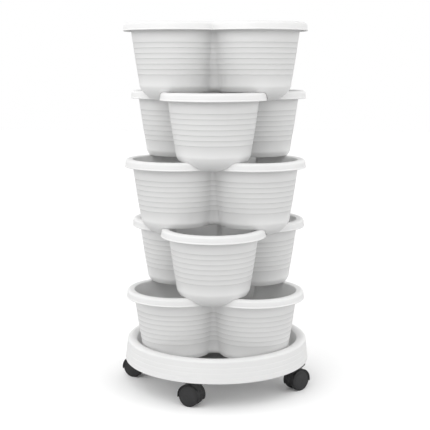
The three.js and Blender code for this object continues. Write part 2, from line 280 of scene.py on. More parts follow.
def soften(piece, width, angle=35, segments=2):  # rounds every edge sharper than the angle
    choose(piece)
    modifier = piece.modifiers.new("soft edges", "BEVEL")
    modifier.width = width
    modifier.segments = segments
    modifier.limit_method = "ANGLE"
    modifier.angle_limit = math.radians(angle)
    bpy.ops.object.modifier_apply(modifier=modifier.name)


lapPaintedShadeFade = 0.5                 # how much weaker the painted shade is at the lower end of a lap's shadow


def shadeLaps(piece, heights, below, above):  # 1 in the step under a lap, where painted shade darkens the colour, for the material to read
    layer = piece.data.attributes.new("lapPaintedShade", "FLOAT", "POINT")
    for i, vertex in enumerate(piece.data.vertices):
        z = vertex.co.z
        for lap in heights:
            if lap - below <= z <= lap + above:
                layer.data[i].value = 1 - lapPaintedShadeFade * min(1, abs(z - lap) / below)


def joined(pieces, name):
    fresh()
    for piece in pieces:
        piece.select_set(True)
    bpy.context.view_layer.objects.active = pieces[0]
    bpy.ops.object.join()
    pieces[0].name = name
    return pieces[0]


def smooth(piece, angle=32):
    choose(piece)
    bpy.ops.object.shade_smooth_by_angle(angle=math.radians(angle))


def finishPiece(piece, name, material, body, slot, *replaced):
    piece.name = name
    piece.data.name = name
    piece.data.materials.clear()
    piece.data.materials.append(material)
    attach(piece, body)
    if replaced:
        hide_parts(*replaced)


# Pots

pot = {
    "tiers": 5,
    "height": 122.6 * mm,
    "pitch": 122.9 * mm,
    "lobes": 3,
    "lobeOffset": 81.9 * mm,      # tower axis to the middle of a lobe
    "wallTop": 81.7 * mm,         # lobe radius just under the rim
    "wallFoot": 65.6 * mm,
    "wallBulge": 1 * mm,
    "valleyTop": 5 * mm,          # radius of the hollow between two lobes, under the rim and at the foot
    "valleyFoot": 13 * mm,
    "wall": 2.4 * mm,
    "footFillet": 12 * mm,
    "laps": 7,
    "lapPitch": 9.43 * mm,
    "lapDrop": 20.9 * mm,         # rim's lip to the first lap
    "lapStep": 0.7 * mm,
    "lapLip": ((0, 0.5 * mm), (0.12 * mm, 0.15 * mm), (0.35 * mm, 0)),  # in from the wall, up from the lap
    "lapEase": 0.02 * mm,
    "lapRun": 0.9 * mm,           # how far the step goes down under a lap
    # how far the painted shade reaches under and over each lap
    "lapPaintedShadeBelow": 0.95 * mm,
    "lapPaintedShadeAbove": 0.06 * mm,
    "bodyDrop": 3.1 * mm,         # top of the rim to the top of the wall inside it
    "rim": 96.6 * mm,
    "rimReach": 98.1 * mm,
    "rimHeight": 15 * mm,
    "crest": 88.8 * mm,
    "drain": 4 * mm,
    "drainCircle": 38 * mm,
    "drainDepth": 10 * mm,
}
rimShape = {
    "widest": 1.2 * mm,           # over the lip
    "slab": 0.2 * mm,
    # in from the edge, up from the lip
    "outside": ((0.15 * mm, 1.9 * mm), (0.5 * mm, 2.5 * mm), (0.75 * mm, 2.8 * mm)),
    "shoulder": 5.4 * mm,         # rim's top to the start of its rounding
    "shoulderIn": 1.3 * mm,
    "inside": ((2 * mm, 0.15 * mm), (4.5 * mm, 0.7 * mm)),  # in from the crest, down from the top
    "lipOut": (0.2 * mm, 0.4 * mm),
    "lipFoot": ((0.65 * mm, 0), (1.7 * mm, 0.02 * mm), (2.1 * mm, 0.3 * mm), (2.2 * mm, 0.9 * mm)),
    "ceiling": 4.4 * mm,          # rim's top to the hollow under it
    # in from the edge, down from the ceiling
    "hollow": ((3.0 * mm, 2 * mm), (3.4 * mm, 0.7 * mm), (4.6 * mm, 0)),
}
mouth = {                         # upper end of the space inside a pot
    "over": 1 * mm,
    "ledge": 3.2 * mm,
    "flare": 1.7 * mm,
    "lead": 3.4 * mm,
    "leadDepth": 0.5 * mm,
    "round": 2.8 * mm,
}
chinShape = {
    "drop": 16.6 * mm,
    "start": 10.5 * mm,           # over the floor's underside, where the front begins to curve in
    "tip": 34 * mm,               # middle of the lobe to the front of the tip
    "gap": 1.2 * mm,              # to the two rims that it hangs between, as far as the pocket inside goes
    "fit": 0.4 * mm,              # to the rims, outside
    "roundness": 1.7,
    "proud": 0.03 * mm,           # over the wall that it grows from
    "rise": 2 * mm,               # how far the bowl goes up into the wall
    "crowding": 1.8,              # levels lie closer together towards the tip
    "levels": 26,
    "cutReach": 60 * mm,
    "shoulderIn": 1.2 * mm,
    "weld": 0.08 * mm,
}
lobeSteps = 64
valleySteps = 20
chinSteps = 160
rimCutSteps = 288
drainSteps = 32
manySides = 8                     # a flat end has more corners than this
lip = pot["height"] - pot["rimHeight"]
lobeTurn = 2 * math.pi / pot["lobes"]


def wallRadius(z):
    rise = z / lip
    straight = pot["wallFoot"] + (pot["wallTop"] - pot["wallFoot"]) * rise
    return straight + 4 * pot["wallBulge"] * rise * (1 - rise)


def wallReach(z):  # lobe radius plus the radius of the hollow
    return wallRadius(z) + pot["valleyFoot"] + (pot["valleyTop"] - pot["valleyFoot"]) * z / lip


def hollowPlace(reach):  # tower axis to the middle of a hollow, and the angle at which a lobe runs into it
    half = lobeTurn / 2
    along = pot["lobeOffset"] * math.cos(half)
    across = pot["lobeOffset"] * math.sin(half)
    valley = along + math.sqrt(reach ** 2 - across ** 2)
    return valley, math.atan2(valley * math.sin(half), valley * math.cos(half) - pot["lobeOffset"])


def ringStart(radius, reach, z):  # where a lobe begins
    tangent = hollowPlace(reach)[1]
    return Vector((pot["lobeOffset"] + radius * math.cos(tangent), -radius * math.sin(tangent), z))


def drawRing(reach, z, lobes):  # from the selected point: lobes drawn by spins, each with its hollow
    half = lobeTurn / 2
    valley, tangent = hollowPlace(reach)
    for lobe in range(lobes):
        turn = lobe * lobeTurn
        middle = (pot["lobeOffset"] * math.cos(turn), pot["lobeOffset"] * math.sin(turn), z)
        bpy.ops.mesh.spin(steps=lobeSteps, angle=-2 * tangent, center=middle, axis=(0, 0, 1))
        middle = (valley * math.cos(turn + half), valley * math.sin(turn + half), z)
        bpy.ops.mesh.spin(steps=valleySteps, angle=2 * (tangent - half), center=middle, axis=(0, 0, 1))


def drawTrefoil(name, radius, reach, z):  # one flat face
    piece = singlePoint(name, ringStart(radius, reach, z))
    drawRing(reach, z, pot["lobes"])
    bpy.ops.mesh.select_all(action="SELECT")
    bpy.ops.mesh.remove_doubles(threshold=weldGap)
    bpy.ops.mesh.edge_face_add()
    return piece


# a closed solid through (lobe radius, reach, height) rings: one lobe, then its copies
def loftTrefoil(name, rings):
    last = ringStart(*rings[0])
    piece = singlePoint(name, last)
    drawRing(rings[0][1], rings[0][2], 1)
    for ring in rings[1:]:
        start = ringStart(*ring)
        end = last.copy()
        end.rotate(Euler((0, 0, lobeTurn)))
        bpy.ops.mesh.duplicate_move(TRANSFORM_OT_translate={"value": start - end})
        drawRing(ring[1], ring[2], 1)
        last = start
    bpy.ops.mesh.select_all(action="SELECT")
    bpy.ops.mesh.bridge_edge_loops()
    bpy.ops.mesh.select_all(action="SELECT")
    others = pot["lobes"] - 1
    bpy.ops.mesh.spin(dupli=True, steps=others, angle=others * lobeTurn, center=(0, 0, 0), axis=(0, 0, 1))
    bpy.ops.mesh.select_all(action="SELECT")
    bpy.ops.mesh.remove_doubles(threshold=weldGap)
    bpy.ops.mesh.fill_holes(sides=0)
    bpy.ops.mesh.normals_make_consistent(inside=False)
    return piece


def stepIn(profile, facing):  # the picked face moves in and along; facing is the sign of its normal
    for (r0, z0), (r1, z1) in zip(profile, profile[1:]):
        bpy.ops.mesh.inset(thickness=r0 - r1, depth=(z1 - z0) * facing, use_even_offset=True)


def thicken(z):  # the flat face becomes a thin slab from its own height down to z
    drop = z - bpy.context.edit_object.data.vertices[0].co.z
    bpy.ops.mesh.extrude_region_move(TRANSFORM_OT_translate={"value": (0, 0, drop)})
    bpy.ops.mesh.select_all(action="SELECT")
    bpy.ops.mesh.normals_make_consistent(inside=False)


def footLine(z):  # the wall's line below the last lap
    lastLap = lip - pot["lapDrop"] - (pot["laps"] - 1) * pot["lapPitch"]
    top = wallRadius(lastLap) - pot["lapStep"]
    bottom = wallRadius(pot["footFillet"])
    return bottom + (top - bottom) * (z - pot["footFillet"]) / (lastLap - pot["footFillet"])


def makeWallBody():
    top = pot["height"] - pot["bodyDrop"]
    profile = [(wallRadius(top), top), (wallRadius(lip), lip)]
    step = pot["lapStep"]
    for lap in range(pot["laps"]):
        z = lip - pot["lapDrop"] - lap * pot["lapPitch"]
        edge = wallRadius(z)
        profile += [(edge - inward, z + up) for inward, up in pot["lapLip"]]
        profile += [(edge - step, z + pot["lapEase"]), (edge - step - pot["lapEase"], z - pot["lapRun"])]
    fillet = pot["footFillet"]
    middle = wallRadius(fillet) - fillet
    profile += bend(middle, fillet, fillet, fillet, 0, -90, 10)
    return loftTrefoil("wall body", [(r, wallReach(max(z, fillet)), z) for r, z in profile])


def makeRimBody():
    r, reach = pot["rim"], pot["rimReach"]
    crest, top = pot["crest"], pot["height"]
    widest = lip + rimShape["widest"]
    piece = drawTrefoil("rim body", r, reach, widest)
    bpy.ops.object.mode_set(mode="OBJECT")  # brings the mesh up to date for thicken
    bpy.ops.object.mode_set(mode="EDIT")
    thicken(widest - rimShape["slab"])
    pickFace(lambda face: face.normal.z > 0.9 and len(face.verts) > manySides)
    shoulder = top - rimShape["shoulder"]
    upper = [(r, widest)] + [(r - inward, lip + up) for inward, up in rimShape["outside"]]
    upper += bend(crest, shoulder, r - rimShape["shoulderIn"] - crest, top - shoulder, 0, 90, 9)
    upper += [(crest - inward, top - down) for inward, down in rimShape["inside"]]
    stepIn(upper, 1)
    pickFace(lambda face: face.normal.z < -0.9 and len(face.verts) > manySides)
    lower = [(r, widest - rimShape["slab"]), (r - rimShape["lipOut"][0], lip + rimShape["lipOut"][1])]
    lower += [(r - inward, lip + up) for inward, up in rimShape["lipFoot"]]
    ceiling = top - rimShape["ceiling"]
    lower += [(r - inward, ceiling - down) for inward, down in rimShape["hollow"]]
    stepIn(lower, -1)
    return piece


def makeCavity():
    top = pot["height"] + mouth["over"]
    ledge = pot["height"] - mouth["ledge"]
    inner = wallRadius(lip) - pot["wall"]
    flare = inner + mouth["flare"]
    lead, rounding = mouth["lead"], mouth["round"]
    profile = [(flare + lead, top), (flare + lead, top - mouth["leadDepth"])]
    profile += bend(flare + rounding, ledge, rounding, rounding, 100, 180, 7)
    profile += [(inner, lip)]
    fillet = pot["footFillet"]
    corner = fillet - pot["wall"]
    middle = wallRadius(fillet) - fillet
    profile += bend(middle, fillet, corner, corner, 0, -90, 8)
    return loftTrefoil("cavity", [(r, wallReach(min(max(z, fillet), lip)), z) for r, z in profile])


def chinFront(z):
    root = footLine(z)
    if z >= chinShape["start"]:
        return root + chinShape["proud"] * (1 - (z - chinShape["start"]) / mm)
    s = min(1, (chinShape["start"] - z) / (chinShape["start"] + chinShape["drop"]))
    power = chinShape["roundness"]
    reach = footLine(-chinShape["drop"]) - chinShape["tip"]
    return root + chinShape["proud"] - reach * (1 - (1 - s ** power) ** (1 / power))


def rimBelow(inset, spot):  # what a chin is cut by: the rim of one lobe of the pot below, with a gap to it
    low = -chinShape["cutReach"]
    if inset:
        side = pot["rim"] + chinShape["gap"] + inset
        profile = [(0, low), (side, low), (side, -low), (0, -low)]
        return turnProfile("rim below", profile, centre=spot, steps=rimCutSteps)
    side = pot["rim"] + chinShape["fit"]
    crest = pot["crest"]
    crestTop = pot["height"] - pot["pitch"] + chinShape["fit"]
    shoulder = pot["height"] - pot["pitch"] - rimShape["shoulder"]
    profile = [(0, low), (side, low), (side, lip - pot["pitch"] + rimShape["outside"][0][1])]
    profile += bend(crest, shoulder, side - chinShape["shoulderIn"] - crest, crestTop - shoulder, 0, 90, 12)
    profile.append((0, crestTop))
    return turnProfile("rim below", profile, centre=spot, steps=rimCutSteps)


def makeChin(name, inset):  # a turned bowl under the lobe, cut hollow on both sides by the rims below
    top = chinShape["start"] + chinShape["rise"]
    bottom = -chinShape["drop"]
    levels = chinShape["levels"]
    profile = [(0, top), (chinFront(top) - inset, top)]
    for i in range(1, levels + 1):
        s = 1 - (1 - i / levels) ** chinShape["crowding"]
        z = top + (bottom - top) * s
        profile.append((chinFront(z) - inset, z + inset * min(1, s)))
    profile.append((0, bottom + inset))
    offset = pot["lobeOffset"]
    chin = turnProfile(name, profile, centre=(offset, 0), steps=chinSteps)
    for sign in (1, -1):
        spot = (offset * math.cos(lobeTurn / 2), sign * offset * math.sin(lobeTurn / 2))
        boolean(chin, rimBelow(inset, spot), "DIFFERENCE")
    choose(chin)
    bpy.ops.object.mode_set(mode="EDIT")
    bpy.ops.mesh.select_all(action="SELECT")
    bpy.ops.mesh.remove_doubles(threshold=chinShape["weld"])
    bpy.ops.mesh.normals_make_consistent(inside=False)
    bpy.ops.object.mode_set(mode="OBJECT")
    return chin


def ring(piece, name, count):  # copies of a piece round the tower's axis
    copies = []
    for i in range(count):
        twin = copyOf(piece, name + str(i))
        place(twin, turn=i * 2 * math.pi / count)
        copies.append(twin)
    bpy.data.objects.remove(piece)
    return copies


def makePot():
    body = makeWallBody()
    rim = makeRimBody()
    cavity = makeCavity()
    fresh()
    boolean(body, rim, "UNION")
    for chin in ring(makeChin("chin", 0), "chin", pot["lobes"]):
        boolean(body, chin, "UNION")
    boolean(body, cavity, "DIFFERENCE")
    for pocket in ring(makeChin("pocket", pot["wall"]), "pocket", pot["lobes"]):
        boolean(body, pocket, "DIFFERENCE")
    fresh()
    bpy.ops.mesh.primitive_cylinder_add(
        vertices=drainSteps, radius=pot["drain"], depth=pot["drainDepth"],
        location=(pot["drainCircle"], 0, 0))
    drain = bpy.context.object
    place(drain, shift=drain.location.copy())
    for hole in ring(drain, "drain", pot["lobes"]):
        boolean(body, hole, "DIFFERENCE")
    choose(body)
    bpy.ops.object.mode_set(mode="EDIT")
    weldAll()
    bpy.ops.mesh.dissolve_degenerate(threshold=2 * weldGap)
    bpy.ops.object.mode_set(mode="OBJECT")
    laps = [lip - pot["lapDrop"] - lap * pot["lapPitch"] for lap in range(pot["laps"])]
    # painted shade in the step under each lap
    shadeLaps(body, laps, pot["lapPaintedShadeBelow"], pot["lapPaintedShadeAbove"])
    smooth(body)
    return body


def stackPots(material):
    master = makePot()
    for tier in range(1, pot["tiers"] + 1):
        node = "planter_tier_" + str(tier)
        fromBottom = pot["tiers"] - tier
        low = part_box(node)[0].z + chinShape["drop"]
        tierPot = copyOf(master, node + "_pot")
        place(tierPot, turn=math.pi / 2 + (fromBottom % 2) * lobeTurn / 2, shift=(0, 0, low))
        finishPiece(tierPot, node + "_pot", material, "pot_" + str(tier), "white_plastic", node)
        print("pot", tier, len(tierPot.data.polygons), "faces")
    bpy.data.objects.remove(master)


# Saucer

saucer = {
    "flare": 4.2 * mm,            # how much narrower the skirt is under the rim
    "wall": 2.6 * mm,
    "footBead": 0.9 * mm,
    "floorRise": 1.4 * mm,
    "rimWidth": 18.6 * mm,
    "crown": 5.5 * mm,            # height of the rim's rounding, outside
    "dip": 6 * mm,                # and inside
    "draft": 3 * mm,
    "wellRound": 3.2 * mm,
    "laps": (27.3 * mm, 18.3 * mm, 9.3 * mm),
    "lapStep": 0.3 * mm,
    # share of the step, height over the lap
    "lapShape": ((-0.1, -0.2 * mm), (0.1, 0.05 * mm), (0.9, 0.3 * mm), (1, 0.6 * mm)),
    "padHeight": 12 * mm,
    "padSink": 4 * mm,
    "overrun": 2 * mm,
    "padMargin": 1.5 * mm,
    "steps": 240,
}


def skirtRadius(radius, shoulder, z):
    return radius - saucer["flare"] * z / shoulder


def saucerOutside(radius, height):
    shoulder = height - saucer["crown"]
    bead = saucer["footBead"]
    rimOuter = skirtRadius(radius, shoulder, shoulder)
    crest = rimOuter - saucer["rimWidth"] / 2
    wellFoot = rimOuter - saucer["rimWidth"] - saucer["draft"]
    floorTop = saucer["floorRise"] + saucer["wall"]
    profile = [(0, 0), (radius - bead, 0)] + bend(radius - bead, bead, bead, bead, -60, 60, 4)
    step = saucer["lapStep"]
    for z in reversed(saucer["laps"]):
        edge = skirtRadius(radius, shoulder, z)
        profile += [(edge - share * step, z + up) for share, up in saucer["lapShape"]]
    profile += bend(crest, shoulder, rimOuter - crest, saucer["crown"], 0, 90, 12)
    inner = bend(crest, height - saucer["dip"], rimOuter - crest, saucer["dip"], 90, 180, 12)
    profile += inner[1:]
    rounding = saucer["wellRound"]
    profile += bend(wellFoot - rounding, floorTop + rounding, rounding, rounding, 0, -90, 6)
    profile.append((0, floorTop))
    return profile


def saucerHollow(radius, height):  # the space under the floor and inside the skirt and rim
    shoulder = height - saucer["crown"]
    wall = saucer["wall"]
    rimOuter = skirtRadius(radius, shoulder, shoulder)
    crest = rimOuter - saucer["rimWidth"] / 2
    rimInner = rimOuter - saucer["rimWidth"]
    low = -saucer["overrun"]
    profile = [(0, low), (radius - wall, low), (rimOuter - wall, shoulder)]
    profile += bend(crest, shoulder, rimOuter - wall - crest, saucer["crown"] - wall, 20, 160, 8)
    profile.append((rimInner + wall, height - saucer["dip"]))
    profile.append((rimInner - saucer["draft"] + wall, saucer["floorRise"]))
    profile.append((0, saucer["floorRise"]))
    return profile


def makeSaucer(material):
    low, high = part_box("saucer")
    radius = high[0]
    height = high[2] - low[2]
    body = turnProfile("saucer_shell", saucerOutside(radius, height), steps=saucer["steps"])
    hollow = turnProfile("hollow", saucerHollow(radius, height), steps=saucer["steps"])
    for name in casterNames:
        pivot = middleOf("king_pin_" + name)
        reach = math.hypot(pivot.x, pivot.y)
        half = plate["side"] / 2 + saucer["padMargin"]
        length = radius - reach + half
        fresh()
        bpy.ops.mesh.primitive_cube_add(size=1)
        pad = bpy.context.object
        pad.scale = (length, 2 * half, saucer["padHeight"] + 2 * saucer["padSink"])
        pad.location = (radius - length / 2, 0, saucer["padHeight"] / 2 - saucer["padSink"])
        bpy.ops.object.transform_apply(location=True, rotation=False, scale=True)
        place(pad, turn=math.atan2(pivot.y, pivot.x))
        boolean(hollow, pad, "DIFFERENCE")
    boolean(body, hollow, "DIFFERENCE")
    choose(body)
    bpy.ops.object.mode_set(mode="EDIT")
    weldAll()
    bpy.ops.object.mode_set(mode="OBJECT")
    place(body, shift=(0, 0, low[2]))
    smooth(body)
    finishPiece(body, "saucer_shell", material, "base", "white_plastic", "saucer")
    print("saucer", len(body.data.polygons), "faces")


# Casters

casterNames = ("front", "right", "back", "left")
plate = {
    "side": 36 * mm,
    "thickness": 2.6 * mm,
    "corner": 4 * mm,
    "holeInset": 6 * mm,
    "hole": 1.8 * mm,
    "edge": 0.35 * mm,
    "overrun": 1 * mm,
}
pin = {
    "radius": 2.4 * mm,
    "head": 5 * mm,
    "gap": 0.3 * mm,
    "footEase": (0.5 * mm, 0.6 * mm),
    "headEase": (0.15 * mm, 0.3 * mm),
    "dimple": (1.6 * mm, 1.2 * mm),  # its radius at the top and at its floor
    "dimpleDepth": (0.5 * mm, 0.6 * mm),
}
hood = {
    "radius": 22.1 * mm,
    "inner": 20.7 * mm,
    "halfWidth": 13.6 * mm,
    "web": 8 * mm,
    "trailAngle": -9,             # degrees, where the hood ends in front of the wheels and at the heel
    "heelAngle": 200,
    "edge": 0.9 * mm,
    "grooveAt": 4.7 * mm,
    "grooveWidth": 2.8 * mm,
    "grooveDepth": 0.9 * mm,
    "turret": 10.5 * mm,
    "turretRound": 0.8 * mm,
    "roomRound": 1 * mm,          # bevel at the floor of the room that a wheel turns in
    "overrun": 20 * mm,
    "pinOverrun": 1 * mm,
    "soften": 0.3 * mm,
    "softenAngle": 40,
}
wheel = {
    "radius": 19.6 * mm,
    "width": 8.5 * mm,
    "dome": 0.8 * mm,
    "shoulder": 1.2 * mm,
    "bore": 2.3 * mm,
    "cap": 2.6 * mm,
    "sideGap": 0.4 * mm,
    "boreEase": 0.3 * mm,
    "treadRound": 0.8 * mm,
    "rimFlat": 1.1 * mm,          # flat ring beside the shoulder
    # in from that ring, height over it
    "groove": ((0.3 * mm, -0.4 * mm), (1 * mm, -0.4 * mm), (1.3 * mm, 0.05 * mm)),
    "domeShares": (0.75, 0.5, 0.28),
    "domeEase": 0.25 * mm,
    "hub": ((2.6 * mm, 0.1 * mm), (2.3 * mm, 0.45 * mm), (0, 0.5 * mm)),  # radius, drop from the dome's top
    "smoothAngle": 30,
}
axle = {
    "radius": 2 * mm,
    "halfLength": 10 * mm,
    "chamfer": 0.4 * mm,
}
screw = {
    "head": 3 * mm,
    "headHeight": 2 * mm,
    # shares of the head's radius and height
    "dome": ((0.35, 0.97), (0.65, 0.85), (0.88, 0.6), (1, 0.28), (1, 0.04)),
    "seat": 0.97,
    "shank": 1.5 * mm,
    "shankShare": 0.8,
    "length": 11 * mm,
    "slot": 0.7 * mm,
    "slotReach": 1.1,
    "firstTurn": 0.3,
    "nextTurn": 0.7,
}
plateCornerSteps = 8
fineSteps = 120                   # hoods and wheels
turretSteps = 64
pinSteps = 48
boreSteps = 40
screwSteps = 32


def makePlate(name, material):
    pivot = middleOf("king_pin_" + name)
    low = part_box("caster_plate_" + name)[0]
    fresh()
    bpy.ops.mesh.primitive_cube_add(size=1)
    body = bpy.context.object
    body.scale = (plate["side"], plate["side"], plate["thickness"])
    body.location = (0, 0, plate["thickness"] / 2)
    bpy.ops.object.transform_apply(location=True, rotation=False, scale=True)
    bpy.ops.object.mode_set(mode="EDIT")
    bpy.ops.mesh.select_mode(type="EDGE")
    bpy.ops.mesh.select_all(action="DESELECT")
    mesh = bmesh.from_edit_mesh(body.data)
    for edge in mesh.edges:
        a, b = edge.verts
        edge.select_set(abs(a.co.z - b.co.z) > plate["thickness"] / 2)
    bpy.ops.mesh.bevel(offset=plate["corner"], segments=plateCornerSteps)
    bpy.ops.object.mode_set(mode="OBJECT")
    gap = pin["gap"]
    slope = (pin["head"] - pin["radius"]) / plate["thickness"]
    past = plate["overrun"]
    seat = [(0, -past), (pin["radius"] + gap, -past), (pin["radius"] + gap, 0)]
    seat += [(pin["head"] + gap + slope * past, plate["thickness"] + past), (0, plate["thickness"] + past)]
    boolean(body, turnProfile("pin seat", seat, steps=pinSteps), "DIFFERENCE")
    reach = plate["side"] / 2 - plate["holeInset"]
    top = 2 * plate["thickness"]
    bore = [(0, -past), (plate["hole"], -past), (plate["hole"], top), (0, top)]
    for x in (-reach, reach):
        for y in (-reach, reach):
            boolean(body, turnProfile("screw hole", bore, centre=(x, y), steps=screwSteps), "DIFFERENCE")
    soften(body, plate["edge"])
    place(body, turn=math.atan2(pivot.y, pivot.x), shift=(pivot.x, pivot.y, low[2]))
    smooth(body)
    finishPiece(body, "mounting_plate_" + name, material, "base", "black_nylon", "caster_plate_" + name)


def makeKingPin(name, material):
    low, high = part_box("king_pin_" + name)
    height = high[2] - low[2]
    neck = height - plate["thickness"]
    r, head = pin["radius"], pin["head"]
    inward, up = pin["footEase"]
    start, end = pin["headEase"]
    profile = [(0, 0), (r - inward, 0), (r, up), (r, neck)]
    profile += [(head - start, height - start), (head - end, height)]
    profile += [(pin["dimple"][0], height), (pin["dimple"][1], height - pin["dimpleDepth"][0])]
    profile.append((0, height - pin["dimpleDepth"][1]))
    body = turnProfile("rivet_" + name, profile, steps=pinSteps)
    pivot = middleOf("king_pin_" + name)
    place(body, shift=(pivot.x, pivot.y, low[2]))
    smooth(body)
    finishPiece(body, "rivet_" + name, material, "base", "steel", "king_pin_" + name)


def makeScrews(name, material):
    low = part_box("caster_plate_" + name)[0]
    pivot = middleOf("king_pin_" + name)
    head, tall = screw["head"], screw["headHeight"]
    profile = [(0, -tall)] + [(out * head, -up * tall) for out, up in screw["dome"]]
    profile += [(screw["seat"] * head, 0), (screw["shank"], 0)]
    profile += [(screw["shank"], screw["shankShare"] * screw["length"]), (0, screw["length"])]
    master = turnProfile("screw", profile, steps=screwSteps)
    for turn in (0, math.pi / 2):
        fresh()
        bpy.ops.mesh.primitive_cube_add(size=1)
        blade = bpy.context.object
        blade.scale = (screw["slotReach"] * head, screw["slot"], tall)
        blade.location = (0, 0, -tall)
        bpy.ops.object.transform_apply(location=True, rotation=False, scale=True)
        place(blade, turn=turn)
        boolean(master, blade, "DIFFERENCE")
    reach = plate["side"] / 2 - plate["holeInset"]
    copies = []
    for i, (x, y) in enumerate(((reach, reach), (-reach, reach), (-reach, -reach), (reach, -reach))):
        twin = copyOf(master, "screw" + str(i))
        place(twin, turn=screw["nextTurn"] * i + screw["firstTurn"])
        place(twin, shift=(x, y, 0))
        copies.append(twin)
    bpy.data.objects.remove(master)
    body = joined(copies, "plate_screws_" + name)
    place(body, turn=math.atan2(pivot.y, pivot.x), shift=(pivot.x, pivot.y, low[2]))
    smooth(body)
    finishPiece(body, "plate_screws_" + name, material, "base", "steel")


def hoodProfile():
    r, w, edge = hood["radius"], hood["halfWidth"], hood["edge"]
    at, wide, deep = hood["grooveAt"], hood["grooveWidth"] / 2, hood["grooveDepth"]
    profile = [(0, -w), (r - edge, -w)] + bend(r - edge, edge - w, edge, edge, -90, 0, 5)[1:]
    for middle in (-at, at):
        profile += [(r, middle - wide), (r - deep, middle - 0.5 * wide)]
        profile += [(r - deep, middle + 0.5 * wide), (r, middle + wide)]
    profile += bend(r - edge, w - edge, edge, edge, 0, 90, 5)
    profile.append((0, w))
    return profile


def makeHoodShape(axleHeight, turretTop, pinLow, trail):  # axle on Y, king pin on Z
    body = turnProfile("hood", hoodProfile(), steps=fineSteps)
    layDown(body)
    trailTurn = math.radians(hood["trailAngle"])
    heelTurn = math.radians(hood["heelAngle"])
    start = Vector((math.cos(trailTurn), 0, math.sin(trailTurn)))
    end = Vector((math.cos(heelTurn), 0, math.sin(heelTurn)))
    across = (start - end).normalized()
    choose(body)
    bpy.ops.object.mode_set(mode="EDIT")
    bpy.ops.mesh.select_all(action="SELECT")
    bpy.ops.mesh.bisect(
        plane_co=start * hood["radius"], plane_no=(-across.z, 0, across.x), use_fill=True, clear_inner=True)
    weldAll()
    bpy.ops.object.mode_set(mode="OBJECT")
    place(body, shift=(trail, 0, axleHeight))
    rounding = hood["turretRound"]
    turret = hood["turret"]
    root = axleHeight + 0.5 * hood["inner"]
    profile = [(0, root), (turret, root)]
    profile += bend(turret - rounding, turretTop - rounding, rounding, rounding, 0, 90, 4) + [(0, turretTop)]
    boolean(body, turnProfile("turret", profile, steps=turretSteps), "UNION")
    length = hood["overrun"]
    r, ease = hood["inner"], hood["roomRound"]
    for side in (1, -1):
        start = side * hood["web"] / 2
        profile = [(0, 0), (r - ease, 0), (r, ease), (r, length), (0, length)]
        bowl = turnProfile("wheel room", profile, steps=fineSteps)
        layDown(bowl)
        if side > 0:
            place(bowl, turn=math.pi)
        place(bowl, shift=(trail, start, axleHeight))
        boolean(body, bowl, "DIFFERENCE")
    bore = axle["radius"] + pin["gap"]
    profile = [(0, -length), (bore, -length), (bore, length), (0, length)]
    hole = turnProfile("axle bore", profile, steps=boreSteps)
    layDown(hole)
    place(hole, shift=(trail, 0, axleHeight))
    boolean(body, hole, "DIFFERENCE")
    bore = pin["radius"] + pin["gap"]
    top = turretTop + hood["pinOverrun"]
    foot = pinLow - pin["gap"]
    hole = turnProfile("pin bore", [(0, foot), (bore, foot), (bore, top), (0, top)], steps=boreSteps)
    boolean(body, hole, "DIFFERENCE")
    choose(body)
    bpy.ops.object.mode_set(mode="EDIT")
    weldAll()
    bpy.ops.object.mode_set(mode="OBJECT")
    soften(body, hood["soften"], hood["softenAngle"])
    smooth(body, hood["softenAngle"])
    return body


def makeWheelShape():  # axis on Z, inner side at z = 0
    r, w = wheel["radius"], wheel["width"]
    s = wheel["shoulder"]
    capLow = w - wheel["cap"]
    bore, ease, edge = wheel["bore"], wheel["boreEase"], wheel["treadRound"]
    profile = [(0, capLow), (bore, capLow), (bore, ease), (bore + ease, 0), (r - edge, 0)]
    profile += bend(r - edge, edge, edge, edge, -60, 0, 3)
    profile += bend(r - s, w - s, s, s, 0, 80, 6)
    lipIn = r - s - wheel["rimFlat"]
    profile += [(lipIn, w)] + [(lipIn - inward, w + up) for inward, up in wheel["groove"]]
    face, low = profile[-1]
    for share in wheel["domeShares"]:
        profile.append((face * share, low + (wheel["dome"] - wheel["domeEase"]) * (1 - share ** 2)))
    profile += [(out, w + wheel["dome"] - down) for out, down in wheel["hub"]]
    return turnProfile("wheel", profile, steps=fineSteps)


def makeAxleShape():
    r, half, chamfer = axle["radius"], axle["halfLength"], axle["chamfer"]
    profile = [(0, -half), (r - chamfer, -half), (r, chamfer - half)]
    profile += [(r, half - chamfer), (r - chamfer, half), (0, half)]
    return turnProfile("axle", profile, steps=boreSteps)


